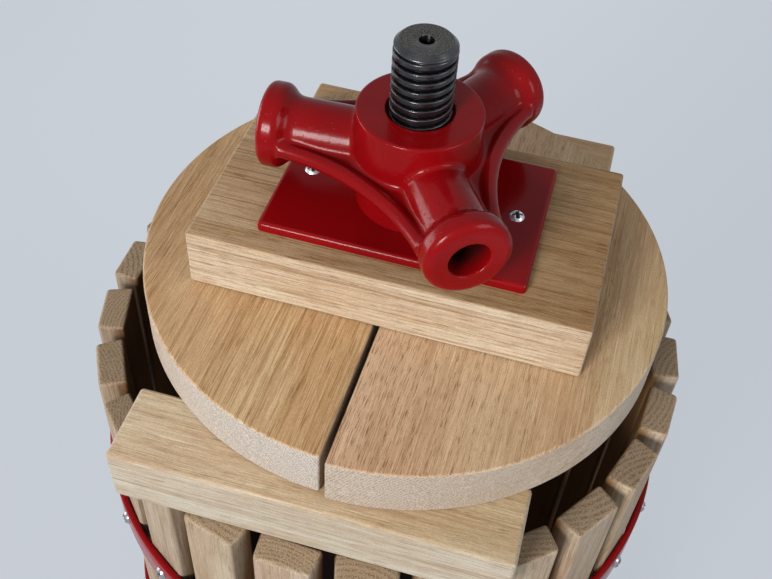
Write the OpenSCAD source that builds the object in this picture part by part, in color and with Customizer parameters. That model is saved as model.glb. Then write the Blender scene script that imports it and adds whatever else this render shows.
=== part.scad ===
// Basket fruit press: an oak basket of upright staves in a steel tray on three legs,
// with oak pressing boards over the rim and a three-socket cast nut on a fixed screw spindle.
// Millimetres, +Z up. The origin is on the spindle's axis, at the level of the floor.

/* [Basket] */
// Number of upright staves round the basket
stave_count = 25; // [21:1:26]
// Distance from the basket's axis to the flat inner face of a stave
basket_inner_r = 153.5; // [150:0.5:160]
// Thickness of a stave
stave_t = 16; // [12:0.5:18]
// Width of a stave at its inner face
stave_inner_w = 33.5; // [28:0.5:35]
// Width of a stave at its outer face
stave_outer_w = 30; // [25:0.5:32]
// Size of the eased long edges of a stave
stave_ease = 2; // [1:0.25:3]
// Length of a stave
stave_h = 360; // [320:5:400]
// How far the loose basket stands from the spindle's axis along X
basket_x = -7.4; // [-9:0.2:0]
// How far the loose basket stands from the spindle's axis along Y
basket_y = 5; // [0:0.2:9]
// Direction of the first stave's middle, in degrees
basket_turn = 8.2; // [0:0.2:14]

/* [Hoops] */
// Thickness of a hoop's steel strip
hoop_t = 4; // [3:0.5:5]
// Height of a hoop's steel strip
hoop_h = 25; // [20:1:30]
// Distance from the staves' ends to the nearer edge of a hoop
hoop_inset = 83; // [60:1:110]
// Room between the staves' outer edges and a hoop
hoop_fit = 0.1; // [0.05:0.05:0.3]
// Radius of a hoop screw's domed head
hoop_screw_head_r = 4.2; // [3.5:0.1:5]
// Height of a hoop screw's domed head
hoop_screw_head_h = 2.8; // [2:0.1:3.5]
// Radius of a hoop screw's shank
hoop_screw_r = 1.8; // [1.5:0.1:2.2]
// Length of a hoop screw's shank
hoop_screw_l = 14; // [10:0.5:16]

/* [Bars and boards] */
// Length of each bar that lies across the basket's rim
bar_l = 202; // [180:1:220]
// Width of each bar
bar_w = 43; // [36:1:48]
// Thickness of each bar
bar_t = 36; // [30:1:42]
// Distance of the front bar's middle line from the spindle's axis
front_bar_y = 129; // [120:1:136]
// Distance of the rear bar's middle line from the spindle's axis
rear_bar_y = 142; // [126:1:146]
// Sideways place of the front bar's middle
front_bar_x = -7.5; // [-10:0.5:5]
// Sideways place of the rear bar's middle
rear_bar_x = -2.5; // [-10:0.5:5]
// How far the loose front bar is turned, in degrees
front_bar_turn = 0.6; // [-2:0.1:2]
// Diameter of the pair of half-round boards
board_d = 280; // [260:1:290]
// Thickness of the boards
board_t = 30; // [24:1:36]
// Gap between the two boards
split_gap = 3; // [1:0.5:6]
// How far the loose boards are turned round the spindle, in degrees
board_turn = -0.75; // [-2:0.25:2]
// How far the loose right board stands forward
right_board_forward = 2.5; // [0:0.25:3]
// Radius of the eased wooden edges
wood_ease = 2.5; // [1.5:0.5:4]
// Room round the spindle in the wooden pieces
wood_room = 4; // [3.5:0.5:6]
// Room between pieces that lie loose on each other
loose_gap = 0.3; // [0.2:0.05:0.5]

/* [Block and wear plate] */
// Length of the pressing block
block_l = 203; // [180:1:220]
// Sideways place of the pressing block's middle
block_x = 1; // [-3:0.5:3]
// Width of the pressing block
block_w = 117; // [104:1:130]
// Thickness of the pressing block
block_t = 34; // [28:1:42]
// Length of the wear plate
plate_l = 136; // [124:1:150]
// Width of the wear plate
plate_w = 90; // [80:1:100]
// Thickness of the wear plate
plate_t = 5; // [4:0.5:8]
// Radius of the wear plate's corners
plate_corner_r = 2; // [1:0.5:5]
// Room round the spindle in the wear plate
plate_room = 1; // [0.5:0.5:3]
// Distance of each plate screw from the middle of the plate
plate_screw_x = 54; // [48:0.5:57]
// Distance of the plate screws behind the middle of the plate
plate_screw_y = 1.5; // [0:0.5:6]
// Radius of a plate screw's head
plate_screw_head_r = 4; // [3:0.1:5]
// Height of a plate screw's head
plate_screw_head_h = 2.4; // [1.5:0.1:3.5]
// Radius of a plate screw's shank
plate_screw_r = 2.2; // [1.5:0.1:2.5]
// Length of a plate screw's shank
plate_screw_l = 24; // [18:1:28]

/* [Cast nut] */
// Height of the nut from the wear plate to the top of its hub
nut_h = 55; // [50:0.5:62]
// Radius of the hub at its top
hub_top_r = 30.8; // [28:0.2:32]
// Radius of the hub where it meets the arms
hub_low_r = 32; // [31.2:0.2:34]
// Radius of the round foot under the hub
foot_r = 29.3; // [27:0.1:31]
// Direction of the first arm, in degrees
first_arm_angle = -57.3; // [-60:0.1:-50]
// Height of the arms' axes above the wear plate
arm_axis_h = 29; // [26:0.5:32]
// Radius of an arm
arm_r = 16.25; // [14:0.25:17]
// Distance from the spindle's axis to the face of a collar
collar_reach = 77; // [72:0.5:84]
// Radius of a collar
collar_r = 21.2; // [19:0.1:22]
// Width of a collar along its arm
collar_w = 12; // [9:0.5:15]
// Radius of a collar's rounded edges
collar_ease = 4; // [2:0.25:4.25]
// Radius of a lever socket
socket_r = 10; // [8:0.1:10.5]
// Depth of a lever socket
socket_l = 43; // [35:1:44]
// Distance of the web's hollow edge from the spindle's axis, between two arms
web_reach = 41.6; // [39:0.2:44]
// Radius of the web's hollow edge
web_hollow_r = 110.5; // [104:0.5:118]
// Thickness of the web
web_t = 6; // [4:0.5:7]
// Radius of the bead along the web's edge
bead_r = 4; // [3.25:0.25:4.75]
// Running clearance of the nut's bore round the spindle
nut_clearance = 0.05; // [0.02:0.01:0.08]
// Extra radius of the wider mouth at the top of the nut's bore
mouth_extra = 1.5; // [1:0.25:3]
// Depth of that wider mouth
mouth_depth = 4; // [2:0.5:8]

/* [Spindle] */
// Radius of the screw spindle
spindle_r = 15; // [14:0.25:16]
// How far the spindle stands above the nut
spindle_rise = 38; // [38:1:60]
// Size of the chamfer at the spindle's top
spindle_chamfer = 2.5; // [1:0.25:4]
// Radius of the centre hole in the spindle's top
centre_hole_r = 3.5; // [2:0.25:4]
// Depth of that centre hole
centre_hole_l = 9; // [5:0.5:15]
// Length of the spindle below its lower nut
spindle_tail = 6; // [3:1:12]
// Width across flats of the spindle's two clamping nuts
clamp_nut_af = 46; // [41:1:50]
// Height of the clamping nut above the tray
upper_nut_h = 15; // [12:1:20]
// Height of the clamping nut below the base
lower_nut_h = 24; // [18:1:28]
// Radius of the sealing ring and of the washer
washer_r = 28; // [26:0.5:32]
// Thickness of the sealing ring
seal_t = 3; // [2:0.5:5]
// Thickness of the washer
washer_t = 4; // [3:0.5:5]

/* [Tray] */
// Height of the tray's floor above the ground
tray_floor_z = 150; // [140:5:200]
// Room between the basket and the tray's wall
tray_room = 6; // [4:0.5:10]
// Thickness of the tray's sheet steel
sheet_t = 2; // [1.5:0.25:3]
// Height of the tray's wall above its floor
tray_wall_h = 30; // [27:1:40]
// Radius of the rolled rim
rim_r = 3; // [2.5:0.25:4]
// Width of the outlet in the tray's wall
outlet_w = 36; // [28:1:44]
// Height of the spout's sides at its lip
lip_h = 10; // [6:1:20]
// Length of the pouring spout
spout_l = 65; // [50:1:80]

/* [Base] */
// Thickness of the three-armed base
base_t = 8; // [6:0.5:10]
// Radius of the middle of the base
base_hub_r = 48; // [40:1:60]
// Reach of each arm of the base
base_arm_l = 160; // [145:1:170]
// Width of the base's arms and of the legs
strip_w = 40; // [32:1:44]
// Thickness of the legs' strip
leg_t = 6; // [5:0.5:8]
// Distance from the spindle's axis to a leg's inner end
leg_inner = 72; // [66:1:76]
// Distance from the spindle's axis to a leg's knee
leg_knee = 184; // [176:1:190]
// How far a leg spreads outward on its way down
leg_spread = 24; // [10:1:40]
// Length of the foot beyond the leg
foot_l = 44; // [36:1:60]
// Distance from the foot's outer end to its bolt hole
foot_hole_inset = 20; // [16:1:24]
// Radius of the foot's bolt hole
foot_hole_r = 4.5; // [3.5:0.25:6]
// Radius of the leg bolts
bolt_r = 4; // [3:0.25:5]
// Radius of the leg bolts' domed heads
bolt_head_r = 8.5; // [7:0.25:10]
// Height of the leg bolts' domed heads
bolt_head_h = 4; // [3:0.25:5]
// Distance from the spindle's axis to the inner leg bolts
inner_bolt_reach = 90; // [86:1:94]
// Distance from the spindle's axis to the outer leg bolts
outer_bolt_reach = 125; // [116:1:130]
// Width across flats of the leg nuts
leg_nut_af = 13; // [11:0.5:16]
// Height of the leg nuts
leg_nut_h = 6.5; // [5:0.5:8]
// Length of a leg bolt below its nut
bolt_tail = 3; // [1:0.5:5]
// Radial room of bolts and screws in their holes
bolt_room = 0.4; // [0.2:0.1:0.6]
// Radial room of screws and nuts on their threads
thread_room = 0.05; // [0.02:0.01:0.1]

/* [Hidden] */
$fn = 64;
over = 1;
arm_step = 120;
bead_trim = 8;
hex_sides = 6;
leg_angles = [-150, -30, 90];
tray_z = tray_floor_z - sheet_t;
base_z = tray_z - base_t;
leg_top_z = base_z - leg_t;
stave_z = tray_floor_z + loose_gap;
bar_z = stave_z + stave_h + loose_gap;
board_z = bar_z + bar_t + loose_gap;
block_z = board_z + board_t + loose_gap;
plate_z = block_z + block_t;
nut_z = plate_z + plate_t;
arm_z = nut_z + arm_axis_h;
hub_top_z = nut_z + nut_h;
spindle_top_z = hub_top_z + spindle_rise;
lower_nut_z = base_z - washer_t - lower_nut_h;
spindle_bottom_z = lower_nut_z - spindle_tail;
stave_outer_r = basket_inner_r + stave_t;
stave_slope = (stave_outer_w - stave_inner_w) / 2 / stave_t;
stave_corner_y = stave_outer_w / 2 - stave_slope * stave_ease;
stave_corner_r = max(norm([stave_outer_r, stave_outer_w / 2 - stave_ease]),
    norm([stave_outer_r - stave_ease, stave_corner_y]));
hoop_inner_r = stave_corner_r + hoop_fit;
tray_r = norm([basket_x, basket_y]) + stave_corner_r + tray_room + sheet_t;
hoop_outer_r = hoop_inner_r + hoop_t;
lower_hoop_z = stave_z + hoop_inset;
upper_hoop_z = stave_z + stave_h - hoop_inset - hoop_h;
hoop_screw_hole_r = hoop_screw_r + thread_room;
bolt_hole_r = bolt_r + bolt_room;
bolt_reaches = [inner_bolt_reach, outer_bolt_reach];
bolt_l = sheet_t + base_t + leg_t + leg_nut_h + bolt_tail;
spindle_hole_r = spindle_r + bolt_room;
web_centre = web_reach + web_hollow_r;
collar_back = collar_reach - collar_w;
web_corner_r = collar_back - collar_ease;
bead_span = 2 * asin(web_corner_r * sin(arm_step / 2) / web_hollow_r) - bead_trim;
leg_tilt = leg_spread / leg_top_z;
leg_thickness_x = leg_t * sqrt(1 + leg_tilt * leg_tilt);
foot_end = leg_knee + leg_spread + foot_l;

OAK = "burlywood";
RED = "firebrick";
STEEL = "dimgray";
BRIGHT = "silver";

function stave_name(i) = str("stave_", i < 10 ? "0" : "", i);
stave_names = [for (i = [1:stave_count]) stave_name(i)];

// Shared shapes

module rounded_rectangle(a, b, r) {
    square([a - 2 * r, b], center = true);
    square([a, b - 2 * r], center = true);
    for (x = [-1, 1], y = [-1, 1])
        translate([x * (a / 2 - r), y * (b / 2 - r)]) circle(r);
}

// A bar along X, lying on Z = 0, with its long edges eased
module eased_bar(l, w, t, r) {
    translate([-l / 2, 0, t / 2])
        rotate([90, 0, 90])
            linear_extrude(l) rounded_rectangle(w, t, r);
}

// A domed head standing on Z = 0, with its shank hanging below
module dome_screw(head_r, head_h, shank_r, shank_l) {
    dome_r = (head_r * head_r + head_h * head_h) / (2 * head_h);
    rotate_extrude() intersection() {
        translate([0, head_h - dome_r]) circle(dome_r);
        square([head_r, head_h]);
    }
    translate([0, 0, -shank_l]) cylinder(r = shank_r, h = shank_l + head_h / 2);
}

module hex_nut(af, h, bore_r) {
    difference() {
        cylinder(d = af / cos(180 / hex_sides), h = h, $fn = hex_sides);
        translate([0, 0, -over]) cylinder(r = bore_r, h = h + 2 * over);
    }
}

module ring(outer_r, inner_r, h) {
    difference() {
        cylinder(r = outer_r, h = h);
        translate([0, 0, -over]) cylinder(r = inner_r, h = h + 2 * over);
    }
}

module on_basket_axis() {
    translate([basket_x, basket_y, 0]) rotate([0, 0, basket_turn]) children();
}

module at_stave(i) {
    rotate([0, 0, 360 / stave_count * (i - 1)]) children();
}

// Places children with +Z pointing outward at the hoop's outer face
module at_hoop_screw(i, z) {
    at_stave(i) translate([hoop_outer_r, 0, z + hoop_h / 2]) rotate([0, 90, 0]) children();
}

module at_leg(angle) {
    rotate([0, 0, angle]) children();
}

module at_leg_bolts() {
    for (angle = leg_angles, reach = bolt_reaches)
        at_leg(angle) translate([reach, 0, 0]) children();
}

module at_plate_screws() {
    for (side = [-1, 1]) translate([side * plate_screw_x, plate_screw_y, 0]) children();
}

// Basket

module stave_section() {
    middle_inner = stave_inner_w / 2 + stave_slope * stave_ease;
    polygon([
        [basket_inner_r, stave_ease - stave_inner_w / 2],
        [basket_inner_r + stave_ease, -middle_inner],
        [stave_outer_r - stave_ease, -stave_corner_y],
        [stave_outer_r, stave_ease - stave_outer_w / 2],
        [stave_outer_r, stave_outer_w / 2 - stave_ease],
        [stave_outer_r - stave_ease, stave_corner_y],
        [basket_inner_r + stave_ease, middle_inner],
        [basket_inner_r, stave_inner_w / 2 - stave_ease]]);
}

module stave(i) {
    color(OAK) on_basket_axis() difference() {
        translate([0, 0, stave_z])
            at_stave(i) linear_extrude(stave_h) stave_section();
        for (z = [lower_hoop_z, upper_hoop_z])
            at_hoop_screw(i, z)
                translate([0, 0, -hoop_screw_l - over])
                    cylinder(r = hoop_screw_hole_r, h = hoop_screw_l + 2 * over);
    }
}

module hoop(z) {
    color(RED) on_basket_axis() difference() {
        translate([0, 0, z]) ring(hoop_outer_r, hoop_inner_r, hoop_h, $fn = 128);
        for (i = [1:stave_count])
            at_hoop_screw(i, z)
                translate([0, 0, -2 * hoop_t]) cylinder(r = hoop_screw_hole_r, h = 3 * hoop_t);
    }
}

module upper_hoop() { hoop(upper_hoop_z); }

module lower_hoop() { hoop(lower_hoop_z); }

module hoop_screws(z) {
    color(BRIGHT) on_basket_axis()
        for (i = [1:stave_count])
            at_hoop_screw(i, z)
                dome_screw(hoop_screw_head_r, hoop_screw_head_h, hoop_screw_r, hoop_screw_l);
}

module upper_hoop_screws() { hoop_screws(upper_hoop_z); }

module lower_hoop_screws() { hoop_screws(lower_hoop_z); }

// Pressing timber

module front_bar() {
    color(OAK) translate([front_bar_x, -front_bar_y, bar_z])
        rotate([0, 0, front_bar_turn]) eased_bar(bar_l, bar_w, bar_t, wood_ease);
}

module rear_bar() {
    color(OAK) translate([rear_bar_x, rear_bar_y, bar_z]) eased_bar(bar_l, bar_w, bar_t, wood_ease);
}

module spindle_passage(z, h, room) {
    translate([0, 0, z - over]) cylinder(r = spindle_r + room, h = h + 2 * over);
}

// The round pressing board before it is split
module whole_board() {
    board_r = board_d / 2;
    difference() {
        translate([0, 0, board_z]) rotate_extrude($fn = 128) {
            square([board_r - wood_ease, board_t]);
            translate([0, wood_ease]) square([board_r, board_t - 2 * wood_ease]);
            for (y = [wood_ease, board_t - wood_ease])
                translate([board_r - wood_ease, y]) circle(wood_ease);
        }
        spindle_passage(board_z, board_t, wood_room);
    }
}

module half_board(side) {
    color(OAK) rotate([0, 0, board_turn]) intersection() {
        whole_board();
        translate([side * (board_d + split_gap) / 2, 0, board_z + board_t / 2])
            cube([board_d, board_d + 2 * over, board_t + 2 * over], center = true);
    }
}

module left_board() { half_board(-1); }

module right_board() { translate([0, -right_board_forward, 0]) half_board(1); }

module press_block() {
    color(OAK) difference() {
        translate([block_x, 0, block_z]) eased_bar(block_l, block_w, block_t, wood_ease);
        spindle_passage(block_z, block_t, wood_room);
        at_plate_screws()
            translate([0, 0, nut_z - plate_screw_l - over])
                cylinder(r = plate_screw_r + thread_room, h = plate_screw_l + 2 * over);
    }
}

module wear_plate() {
    color(RED) difference() {
        translate([0, 0, plate_z])
            linear_extrude(plate_t) rounded_rectangle(plate_l, plate_w, plate_corner_r);
        spindle_passage(plate_z, plate_t, plate_room);
        at_plate_screws()
            translate([0, 0, plate_z - over])
                cylinder(r = plate_screw_r + bolt_room, h = plate_t + 2 * over);
    }
}

module plate_screws() {
    color(BRIGHT) at_plate_screws()
        translate([0, 0, nut_z])
            dome_screw(plate_screw_head_r, plate_screw_head_h, plate_screw_r, plate_screw_l);
}

// Cast nut with three lever sockets

module at_arms() {
    for (k = [0:2])
        rotate([0, 0, first_arm_angle + k * arm_step]) children();
}

// Turns +Z to run outward along an arm
module along_arm() {
    translate([0, 0, arm_z]) rotate([0, 90, 0]) children();
}

module nut_arm() {
    along_arm() {
        cylinder(r = arm_r, h = collar_reach - collar_ease);
        rotate_extrude() {
            translate([0, collar_back]) square([collar_r - collar_ease, collar_w]);
            translate([0, collar_back + collar_ease])
                square([collar_r, collar_w - 2 * collar_ease]);
            for (y = [collar_back + collar_ease, collar_reach - collar_ease])
                translate([collar_r - collar_ease, y]) circle(collar_ease);
        }
    }
}

module nut_web() {
    translate([0, 0, arm_z - web_t / 2]) linear_extrude(web_t) difference() {
        circle(web_corner_r);
        for (k = [0:2])
            rotate(first_arm_angle + (k + 0.5) * arm_step)
                translate([web_centre, 0]) circle(web_hollow_r, $fn = 128);
    }
}

// The rounded bead that stiffens the hollow edge between two arms
module web_bead() {
    rotate([0, 0, arm_step / 2])
        translate([web_centre, 0, arm_z])
            rotate([0, 0, 180 - bead_span / 2])
                rotate_extrude(angle = bead_span, $fn = 128)
                    translate([web_hollow_r + bead_r, 0]) circle(bead_r, $fn = 32);
}

module press_nut() {
    color(RED) difference() {
        union() {
            translate([0, 0, nut_z]) cylinder(r = foot_r, h = arm_z - nut_z);
            translate([0, 0, arm_z - web_t / 2])
                cylinder(r1 = hub_low_r, r2 = hub_top_r, h = hub_top_z - arm_z + web_t / 2);
            nut_web();
            at_arms() {
                nut_arm();
                web_bead();
            }
        }
        spindle_passage(nut_z, nut_h, nut_clearance);
        translate([0, 0, hub_top_z - mouth_depth])
            cylinder(r = spindle_r + mouth_extra, h = mouth_depth + over);
        at_arms() along_arm()
            translate([0, 0, collar_reach - socket_l]) cylinder(r = socket_r, h = socket_l + over);
    }
}

// Spindle and what clamps it

module spindle() {
    color(STEEL) difference() {
        union() {
            translate([0, 0, spindle_bottom_z])
                cylinder(r = spindle_r, h = spindle_top_z - spindle_chamfer - spindle_bottom_z);
            translate([0, 0, spindle_top_z - spindle_chamfer])
                cylinder(r1 = spindle_r, r2 = spindle_r - spindle_chamfer, h = spindle_chamfer);
        }
        translate([0, 0, spindle_top_z - centre_hole_l])
            cylinder(r = centre_hole_r, h = centre_hole_l + over);
    }
}

module spindle_seal() {
    color("black") translate([0, 0, tray_floor_z]) ring(washer_r, spindle_r + thread_room, seal_t);
}

module upper_clamp_nut() {
    color(BRIGHT) translate([0, 0, tray_floor_z + seal_t])
        hex_nut(clamp_nut_af, upper_nut_h, spindle_r + thread_room);
}

module spindle_washer() {
    color(BRIGHT) translate([0, 0, base_z - washer_t])
        ring(washer_r, spindle_r + thread_room, washer_t);
}

module lower_clamp_nut() {
    color(BRIGHT) translate([0, 0, lower_nut_z])
        hex_nut(clamp_nut_af, lower_nut_h, spindle_r + thread_room);
}

// Tray and spout

module tray() {
    color(RED) difference() {
        translate([0, 0, tray_z]) ring(tray_r - sheet_t, spindle_hole_r, sheet_t, $fn = 128);
        at_leg_bolts() translate([0, 0, tray_z - over]) cylinder(r = bolt_hole_r, h = sheet_t + 2 * over);
    }
}

// The upright band round the tray's floor, rolled over at its top and open at the spout
module tray_wall() {
    color(RED) difference() {
        translate([0, 0, tray_z]) rotate_extrude($fn = 128) {
            translate([tray_r - sheet_t, 0]) square([sheet_t, sheet_t + tray_wall_h]);
            translate([tray_r, sheet_t + tray_wall_h]) circle(rim_r);
        }
        translate([-outlet_w / 2, -tray_r - 2 * rim_r, tray_floor_z])
            cube([outlet_w, 4 * rim_r, tray_wall_h + 2 * rim_r]);
    }
}

// An open trough at the gap in the tray's wall, with side plates that fall towards its lip
module spout() {
    trough_w = outlet_w + 2 * sheet_t;
    trough_end = tray_r + spout_l;
    trough_start = tray_r - 2 * rim_r;
    color(RED) difference() {
        union() {
            translate([-trough_w / 2, -trough_end, tray_z])
                cube([trough_w, trough_end - trough_start, sheet_t]);
            for (side = [-1, 1])
                translate([side * (trough_w - sheet_t) / 2 - sheet_t / 2, 0, tray_z])
                    rotate([90, 0, 90]) linear_extrude(sheet_t) polygon([
                        [-trough_end, 0],
                        [-trough_start, 0],
                        [-trough_start, sheet_t + tray_wall_h - rim_r],
                        [-tray_r - rim_r, sheet_t + tray_wall_h - rim_r],
                        [-trough_end, sheet_t + lip_h]]);
        }
        translate([0, 0, tray_z - over])
            cylinder(r = tray_r, h = tray_wall_h + 2 * over + sheet_t, $fn = 128);
    }
}

// Base and legs

module base_star() {
    color(RED) translate([0, 0, base_z]) linear_extrude(base_t) difference() {
        union() {
            circle(base_hub_r);
            for (angle = leg_angles) rotate(angle) {
                translate([0, -strip_w / 2]) square([base_arm_l - strip_w / 2, strip_w]);
                translate([base_arm_l - strip_w / 2, 0]) circle(strip_w / 2);
            }
        }
        circle(spindle_hole_r);
        for (angle = leg_angles, reach = bolt_reaches)
            rotate(angle) translate([reach, 0]) circle(bolt_hole_r);
    }
}

// A flat strip bent twice: a tab under the base, a spread shank and a foot
module leg(angle) {
    shank_top = leg_knee - leg_thickness_x;
    color(RED) at_leg(angle) difference() {
        rotate([90, 0, 0]) translate([0, 0, -strip_w / 2]) linear_extrude(strip_w) polygon([
            [leg_inner, base_z],
            [leg_knee, base_z],
            [leg_knee + leg_tilt * (base_z - leg_t), leg_t],
            [foot_end, leg_t],
            [foot_end, 0],
            [shank_top + leg_tilt * base_z, 0],
            [shank_top + leg_tilt * leg_t, leg_top_z],
            [leg_inner, leg_top_z]]);
        for (reach = bolt_reaches)
            translate([reach, 0, leg_top_z - over]) cylinder(r = bolt_hole_r, h = leg_t + 2 * over);
        translate([foot_end - foot_hole_inset, 0, -over]) cylinder(r = foot_hole_r, h = leg_t + 2 * over);
    }
}

module left_leg() { leg(leg_angles[0]); }

module right_leg() { leg(leg_angles[1]); }

module rear_leg() { leg(leg_angles[2]); }

module leg_bolts() {
    color(BRIGHT) at_leg_bolts()
        translate([0, 0, tray_floor_z]) dome_screw(bolt_head_r, bolt_head_h, bolt_r, bolt_l);
}

module leg_nuts() {
    color(BRIGHT) at_leg_bolts()
        translate([0, 0, leg_top_z - leg_nut_h]) hex_nut(leg_nut_af, leg_nut_h, bolt_r + thread_room);
}

for (i = [1:stave_count]) stave(i);
upper_hoop();
lower_hoop();
upper_hoop_screws();
lower_hoop_screws();
front_bar();
rear_bar();
left_board();
right_board();
press_block();
wear_plate();
plate_screws();
press_nut();
spindle();
tray();
tray_wall();
spout();
base_star();
left_leg();
right_leg();
rear_leg();
leg_bolts();
leg_nuts();
spindle_seal();
upper_clamp_nut();
spindle_washer();
lower_clamp_nut();
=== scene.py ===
"""Looks of a basket fruit press, in its solids' frame: oak, red enamel, turned steel and bright screws."""

import math
import random

import bpy
import numpy as np
from mathutils import Matrix, Vector

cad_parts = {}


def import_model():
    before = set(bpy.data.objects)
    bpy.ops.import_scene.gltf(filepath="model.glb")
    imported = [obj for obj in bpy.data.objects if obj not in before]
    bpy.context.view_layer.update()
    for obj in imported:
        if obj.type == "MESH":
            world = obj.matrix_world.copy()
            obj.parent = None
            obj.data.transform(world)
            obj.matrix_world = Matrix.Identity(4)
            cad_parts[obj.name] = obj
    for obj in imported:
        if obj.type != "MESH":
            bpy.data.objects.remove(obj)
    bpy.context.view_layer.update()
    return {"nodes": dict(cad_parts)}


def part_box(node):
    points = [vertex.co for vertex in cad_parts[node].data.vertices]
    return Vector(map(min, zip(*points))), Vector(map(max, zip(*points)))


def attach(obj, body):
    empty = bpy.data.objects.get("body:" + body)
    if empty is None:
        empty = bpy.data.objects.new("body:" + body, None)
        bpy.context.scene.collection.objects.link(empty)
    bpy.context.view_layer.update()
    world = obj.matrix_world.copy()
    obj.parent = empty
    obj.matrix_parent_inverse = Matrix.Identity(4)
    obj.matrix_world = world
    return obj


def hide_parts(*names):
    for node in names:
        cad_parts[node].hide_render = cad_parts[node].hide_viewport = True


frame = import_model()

MM = 0.001

# Camera, solved from the round boards, the block and the nut in the photograph
IMAGE_W = 772
FOCAL_PX = 1020.6
PRINCIPAL_X = 383.5
CAMERA_AZIMUTH = math.radians(12.978)
CAMERA_ELEVATION = math.radians(47.890)
CAMERA_ROLL = math.radians(4.103)
CAMERA_RIGHT_MM, CAMERA_BACK_MM, CAMERA_RISE_MM = 75.63, -378.47, 392.39

# Sizes in millimetres that the frame doesn't give
BAR_EASE, BLOCK_EASE, BOARD_EASE, STAVE_EASE = 2.2, 1.5, 1.4, 2.2
STAVE_COUNT = 25
STAVE_INNER_R, STAVE_T, STAVE_INNER_W, STAVE_OUTER_W = 153.5, 16.0, 33.5, 30.0
BASKET_X, BASKET_Y, BASKET_TURN = -7.4, 5.0, 8.2
HOOP_T = 4.0
BAR_L, BAR_W, FRONT_BAR_TURN = 202.0, 43.0, 0.6
BOARD_R, SPLIT_GAP, BOARD_TURN = 140.0, 3.0, -0.75
WOOD_HOLE_R = 19.0
THREAD_PITCH, THREAD_DEPTH, SPINDLE_R = 5.0, 2.2, 15.0
FIRST_ARM = -57.3

# Tints of the staves' long faces and of their ends, and the painted shade that darkens the staves inside the
# basket
STAVE_TINT, STAVE_END_TINT = (0.57, 0.67, 0.83), (1.0, 0.88, 0.73)
STAIN = (0.42, 0.27, 0.13, 1)

# How bright the room is for matt surfaces, then to the camera and in reflections
WORLD_LEVEL, WORLD_SEEN = 0.32, 0.76
FLOOR_NEAR, FLOOR_FAR = (0.60, 0.64, 0.70, 1), (0.68, 0.725, 0.78, 1)

# Oak, to a metre across the grain: cells of the pores' noise, and rows of dots on the end grain
PORE_ACROSS, END_ROWS = 2000, 620


# Small helpers

def node_box(name):
    """Lowest and highest corner of a node, in millimetres."""
    low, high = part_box(name)
    return np.array(low) / MM, np.array(high) / MM


def new_object(name, mesh):
    """A mesh as an object in the scene."""
    obj = bpy.data.objects.new(name, mesh)
    bpy.context.scene.collection.objects.link(obj)
    return obj


def mesh_from(name, points_mm, faces):
    """A smoothly shaded object from points in millimetres and faces of point numbers."""
    mesh = bpy.data.meshes.new(name)
    mesh.from_pydata((np.asarray(points_mm, float) * MM).tolist(), [], [list(map(int, f)) for f in faces])
    mesh.validate()
    mesh.shade_smooth()
    return new_object(name, mesh)


def apply_modifiers(obj):
    """Makes an object's modifiers part of its mesh."""
    graph = bpy.context.evaluated_depsgraph_get()
    mesh = bpy.data.meshes.new_from_object(obj.evaluated_get(graph))
    obj.modifiers.clear()
    obj.data = mesh


def bevel(obj, width_mm):
    """Rounds the sharp edges and keeps the large faces flat in shading."""
    sharp_angle = 35
    modifier = obj.modifiers.new("ease", "BEVEL")
    modifier.width = width_mm * MM
    modifier.segments = 3
    modifier.limit_method = "ANGLE"
    modifier.angle_limit = math.radians(sharp_angle)
    modifier.harden_normals = True
    obj.data.shade_smooth()
    apply_modifiers(obj)


def prism(name, outline, z0, z1):
    """A straight prism over a closed outline of (x, y) points, in millimetres."""
    n = len(outline)
    points = [(x, y, z) for z in (z0, z1) for x, y in outline]
    faces = [list(range(n))[::-1], list(range(n, 2 * n))]
    faces += [[i, (i + 1) % n, n + (i + 1) % n, n + i] for i in range(n)]
    return mesh_from(name, points, faces)


def slab(name, loops):
    """A flat piece with a hole, from closed loops of (x, y) points at heights that go round its section."""
    n = len(loops[0][0])
    points = [(x, y, z) for loop, z in loops for x, y in loop]
    faces = []
    for row in range(len(loops)):
        a, b = row * n, (row + 1) % len(loops) * n
        faces += [[a + i, a + (i + 1) % n, b + (i + 1) % n, b + i] for i in range(n)]
    return mesh_from(name, points, faces)


def arc(cx, cy, r, start, end, steps):
    """Points along an arc, from a start to an end angle in degrees."""
    angles = np.radians(np.linspace(start, end, steps))
    return [(cx + r * math.cos(a), cy + r * math.sin(a)) for a in angles]


def turned(outline, degrees, x0, y0):
    """An outline that is turned round the origin and then moved."""
    c, s = math.cos(math.radians(degrees)), math.sin(math.radians(degrees))
    return [(x0 + x * c - y * s, y0 + x * s + y * c) for x, y in outline]


def revolve(name, profile, segments):
    """Turns a closed outline of (radius, z) points round Z into a ring."""
    n = len(profile)
    turn = np.linspace(0, 2 * math.pi, segments, endpoint=False)
    points = [(r * math.cos(a), r * math.sin(a), z) for a in turn for r, z in profile]
    faces = []
    for s in range(segments):
        t = (s + 1) % segments
        for i in range(n):
            j = (i + 1) % n
            faces.append([s * n + i, t * n + i, t * n + j, s * n + j])
    return mesh_from(name, points, faces)


def rounded_profile(r0, r1, z0, z1, ease, steps=4):
    """The outline of a flat strip's section with rounded corners, anticlockwise in (radius, z)."""
    outline = []
    corners = ((r1 - ease, z0 + ease, -90), (r1 - ease, z1 - ease, 0),
               (r0 + ease, z1 - ease, 90), (r0 + ease, z0 + ease, 180))
    for r, z, start in corners:
        outline += arc(r, z, ease, start, start + 90, steps)
    return outline


def dress(obj, node, body, material):
    """Rides a piece on its body, in place of its solid, with its finish."""
    obj.data.materials.clear()
    obj.data.materials.append(material)
    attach(obj, body)
    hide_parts(node)


# Materials

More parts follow.
